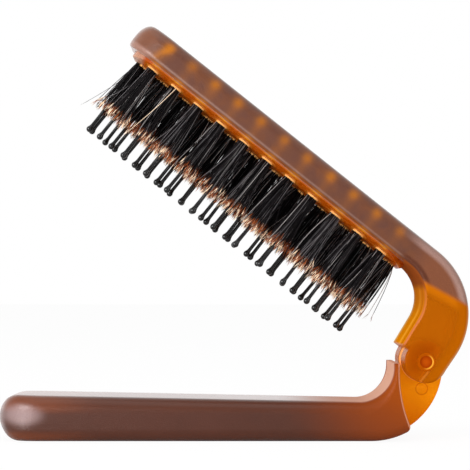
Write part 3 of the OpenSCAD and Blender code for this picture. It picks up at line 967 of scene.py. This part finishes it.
class Strands:
    """Gathers tapered three-sided bristles into one mesh."""

    def __init__(self):
        self.points, self.faces, self.along, self.tone = [], [], [], []

    def add(self, path, radii, along, tone):
        """One bristle along a path: a ring at each point and a pointed end."""
        first = len(self.points)
        last = len(path) - 1
        for k, point in enumerate(path[:-1]):
            heading = (path[k + 1] - path[max(k - 1, 0)]).normalized()
            side = heading.cross(HEAD_TURN.col[0]).normalized()
            across = heading.cross(side)
            for j in range(SIDES):
                turn = math.tau * j / SIDES
                out = side * math.cos(turn) + across * math.sin(turn)
                self.points.append(point + out * radii[k])
        self.points.append(path[-1])
        for k in range(last - 1):
            a = first + k * SIDES
            for j in range(SIDES):
                b = (j + 1) % SIDES
                self.faces.append((a + j, a + b, a + SIDES + b, a + SIDES + j))
        a = first + (last - 1) * SIDES
        for j in range(SIDES):
            self.faces.append((a + j, a + (j + 1) % SIDES, first + last * SIDES))
        self.faces.append(tuple(first + j for j in reversed(range(SIDES))))
        for k in range(last):
            self.along += [along[0] + (along[1] - along[0]) * k / last] * SIDES
        self.along.append(along[1])
        self.tone += [tone] * (last * SIDES + 1)

    def piece(self, name):
        """All the bristles as one object, with what their material reads from each point."""
        mesh = bpy.data.meshes.new(name)
        mesh.from_pydata(self.points, [], self.faces)
        for label, values in (("along", self.along), ("tone", self.tone)):
            mesh.attributes.new(label, "FLOAT", "POINT").data.foreach_set("value", values)
        return linked(name, mesh)


def steps(count):
    """Shares from 0 to 1, one for each point of a path."""
    return [k / (count - 1) for k in range(count)]


def fanned(start, end, bow, flare):
    """Points of a bristle that leaves its bundle, bows and fans out towards its tip."""
    path = []
    for t in steps(STRAND_POINTS):
        point = start.lerp(end, t)
        fan = t ** flare
        point.x = start.x + (end.x - start.x) * fan
        point.y = start.y + (end.y - start.y) * fan
        path.append(HEAD_PLACE @ (point + bow * math.sin(math.pi * t)))
    return path


def tuft(strands, dice, solid, axis, look, settings):
    """Adds a tuft's bristles, which fill the outline of its CAD solid."""
    flare, grey, fullness = look
    low, high = solid.min(0), solid.max(0)
    root = solid[solid[:, 2] > FACE + ROOT_SLICE]
    root_r = (root[:, 1].max() - root[:, 1].min()) / 2 * fullness
    tip_r = (high[0] - low[0]) / 2
    reach = FACE - low[2]
    radii = [settings.strand_radius * (1 - TAPER * t) for t in steps(STRAND_POINTS)]
    for _ in range(settings.strands):
        turn = dice.uniform(0, math.tau)
        share = math.sqrt(dice.uniform(0.05, 1.0))
        stray = dice.choice(STRAYS) * MM if dice.random() < STRAY_SHARE else 0
        spread = share * tip_r + dice.gauss(0, TIP_SPREAD) + stray
        tip_turn = turn + dice.gauss(0, TIP_TURN)
        length = reach + dice.gauss(-TRIMMED, settings.strand_spread)
        length = min(max(length, reach - SHORTER), reach + LONGER)
        start = Vector((
            axis[0] + share * root_r * math.cos(turn),
            axis[1] + share * root_r * math.sin(turn),
            FACE + ROOT_DEPTH,
        ))
        end = Vector((
            axis[0] + spread * math.cos(tip_turn),
            min(max(axis[1] + spread * math.sin(tip_turn), -HALF_WIDTH), HALF_WIDTH),
            FACE - length,
        ))
        bow = Vector((dice.gauss(0, BOW), dice.gauss(0, BOW), 0)) * MM
        path = fanned(start, end, bow, flare)
        # Middle and rear rows keep darker tones, as painted shade.
        tone = dice.random() * grey
        strands.add(path, radii, (0, 1), tone)
        split_tip(strands, dice, path, tone, settings.strand_radius * SPLIT_START)


def split_tip(strands, dice, path, tone, thin):
    """Adds the one or two finer ends that a bristle splits into."""
    for _ in range(dice.choice((1, 2))):
        base = path[-2].lerp(path[-1], dice.uniform(0.0, 0.5))
        finish = path[-1] + Vector([dice.gauss(0, SPLIT_SPREAD) for _ in range(3)])
        strands.add([base, base.lerp(finish, 0.6), finish], [thin, thin * 0.7, 0], (0.9, 1), tone)


def loose_hair(strands, axis, bend, tone, along, settings):
    """Adds one hair that has left its tuft: a smooth bend through its (u, y, w) corners in mm."""
    start, middle, end = (Vector((axis[0], axis[1], FACE)) + Vector(corner) * MM for corner in bend)
    path, radii = [], []
    for t in steps(2 * STRAND_POINTS):
        path.append(HEAD_PLACE @ start.lerp(middle, t).lerp(middle.lerp(end, t), t))
        radii.append(settings.strand_radius * (LOOSE_START - TAPER * t))
    strands.add(path, radii, along, tone)


class BRUSH_OT_bristles(Operator):
    """Grow the boar bristles of the three rows"""

    bl_idname = "brush.bristles"
    bl_label = "Bristles"

    def execute(self, context):
        settings = context.scene.brush
        material = boar_bristle(settings)
        dice = random.Random(BRISTLE_SEED)
        for row in ROWS:
            node = "bristle_tufts_" + row
            strands = Strands()
            look = FRONT_ROW if row == "front" else OTHER_ROWS
            for solid, axis in zip(TUFTS[row], TUFT_AXES[row]):
                tuft(strands, dice, solid, axis, look, settings)
            for place, index, bend, tone, along in LOOSE_HAIRS:
                if place == row:
                    loose_hair(strands, TUFT_AXES[row][index], bend, tone, along, settings)
            piece = strands.piece("bristles_" + row)
            pick(piece)
            bpy.ops.object.shade_smooth()
            paint(piece, material)
            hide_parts(node)
            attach(piece, "brush_head")
        return {"FINISHED"}


# ---- stage ------------------------------------------------------------------------------------

FLOOR_SIZE = 6
# How brightly the floor glows to the camera, and its share of what the camera sees there.
FLOOR_GLOW = 1.03
GLOW_SHARE = 0.9
# Strengths of the light round the brush, of the white studio that the camera and mirrored rays
# see, of its soft box, and what its dim front takes away.
SKY = 0.6
STUDIO = 1.0
SOFT_BOX = 7.0
DIM_FRONT = 0.5
# The camera's frame, focal length and horizon in pixels, its sensor in mm, the nearest that it
# sees, and its place.
FRAME_PX = 470
FOCAL_PX = 1379.08
HORIZON_PX = 290
SENSOR = 36
NEAREST = 0.01
CAMERA_X = 9.182 * MM
CAMERA_Z = 34.641 * MM
# Each lamp's name, place, size and share of the key's power, and the point that all face.
LAMPS = (
    ("key", (-0.5, -0.5, 0.2), 0.4, 1.0),
    ("fill", (0.5, -0.4, 0.12), 0.25, 0.15),
    ("top", (0, -0.2, 0.6), 0.5, 0.2),
)
LAMP_AIM = Vector((0, 0, 0.04))


class BRUSH_OT_stage(Operator):
    """Set up the floor, the soft light and the camera"""

    bl_idname = "brush.stage"
    bl_label = "Stage"

    def execute(self, context):
        settings = context.scene.brush
        self.floor(context)
        self.world(context)
        self.lamps(settings)
        self.camera(context, settings)
        context.scene.view_settings.view_transform = "Standard"
        return {"FINISHED"}

    def floor(self, context):
        deselect()
        bpy.ops.mesh.primitive_plane_add(size=FLOOR_SIZE, location=(0, 0, CAD_BOX[0][2]))
        floor = context.object
        floor.name = "floor"
        material = bpy.data.materials.new("pale floor")
        graph = Graph(material)
        seen = graph.node("ShaderNodeLightPath", output="Is Camera Ray")
        diffuse = graph.node("ShaderNodeBsdfDiffuse", {"Color": linear(240, 240, 240)})
        glow = graph.node("ShaderNodeEmission", {"Color": WHITE, "Strength": FLOOR_GLOW})
        graph.finish(graph.blend(seen * GLOW_SHARE, diffuse, glow))
        paint(floor, material)

    def world(self, context):
        world = bpy.data.worlds.new("studio")
        context.scene.world = world
        graph = Graph(world)
        camera, glossy, through = (
            graph.node("ShaderNodeLightPath", output=f"Is {kind} Ray")
            for kind in ("Camera", "Glossy", "Transmission")
        )
        seen = graph.clamp(camera + glossy + through)
        x, y, z = graph.axes(graph.node("ShaderNodeTexCoord", output="Generated"))
        # Mirrored rays meet a dim space in front of the brush and a soft box to its left.
        front = graph.smooth(-y, -0.1, 0.9) * graph.smooth(x, -0.5, -0.2)
        front = front * graph.clamp(glossy + through)
        box = graph.band(-x, 0.32, 0.72, 0.08) * graph.band(z, 0.0, 0.3, 0.08)
        box = box * graph.smooth(-y, -0.1, 0.1) * glossy
        bright = STUDIO - front * DIM_FRONT + box * SOFT_BOX
        light = graph.node("ShaderNodeBackground", {"Color": WHITE, "Strength": SKY})
        studio = graph.node("ShaderNodeBackground", {"Color": WHITE, "Strength": bright})
        graph.node("ShaderNodeOutputWorld", {"Surface": graph.blend(seen, light, studio)})

    def lamps(self, settings):
        for name, place, size, share in LAMPS:
            lamp = bpy.data.lights.new(name, "AREA")
            lamp.size = size
            lamp.energy = settings.lamp_power * share
            obj = linked(name, lamp)
            obj.location = place
            aim = LAMP_AIM - obj.location
            obj.rotation_euler = aim.to_track_quat("-Z", "Y").to_euler()

    def camera(self, context, settings):
        data = bpy.data.cameras.new("camera")
        data.sensor_width = SENSOR
        data.lens = FOCAL_PX * data.sensor_width / FRAME_PX
        data.shift_y = (HORIZON_PX - FRAME_PX / 2) / FRAME_PX
        data.clip_start = NEAREST
        camera = linked("camera", data)
        camera.location = (CAMERA_X, -settings.camera_distance, CAMERA_Z)
        camera.rotation_euler = (math.pi / 2, 0, 0)
        context.scene.camera = camera


STEPS = (
    BRUSH_OT_shells,
    BRUSH_OT_fittings,
    BRUSH_OT_collars,
    BRUSH_OT_pins,
    BRUSH_OT_mirror,
    BRUSH_OT_bristles,
    BRUSH_OT_stage,
)


class BRUSH_PT_panel(Panel):
    """The steps that finish the brush"""

    bl_idname = "BRUSH_PT_panel"
    bl_label = "Folding Pocket Brush"
    bl_space_type = "VIEW_3D"
    bl_region_type = "UI"
    bl_category = "Brush"

    def draw(self, context):
        column = self.layout.column()
        for name in BrushSettings.__annotations__:
            column.prop(context.scene.brush, name)
        for step in STEPS:
            column.operator(step.bl_idname)


CLASSES = (BrushSettings, *STEPS, BRUSH_PT_panel)


def register():
    for kind in CLASSES:
        bpy.utils.register_class(kind)
    bpy.types.Scene.brush = PointerProperty(type=BrushSettings)


def unregister():
    del bpy.types.Scene.brush
    for kind in reversed(CLASSES):
        bpy.utils.unregister_class(kind)


def main():
    register()
    bpy.ops.brush.shells()
    bpy.ops.brush.fittings()
    bpy.ops.brush.collars()
    bpy.ops.brush.pins()
    bpy.ops.brush.mirror()
    bpy.ops.brush.bristles()
    bpy.ops.brush.stage()


if __name__ == "__main__":
    main()
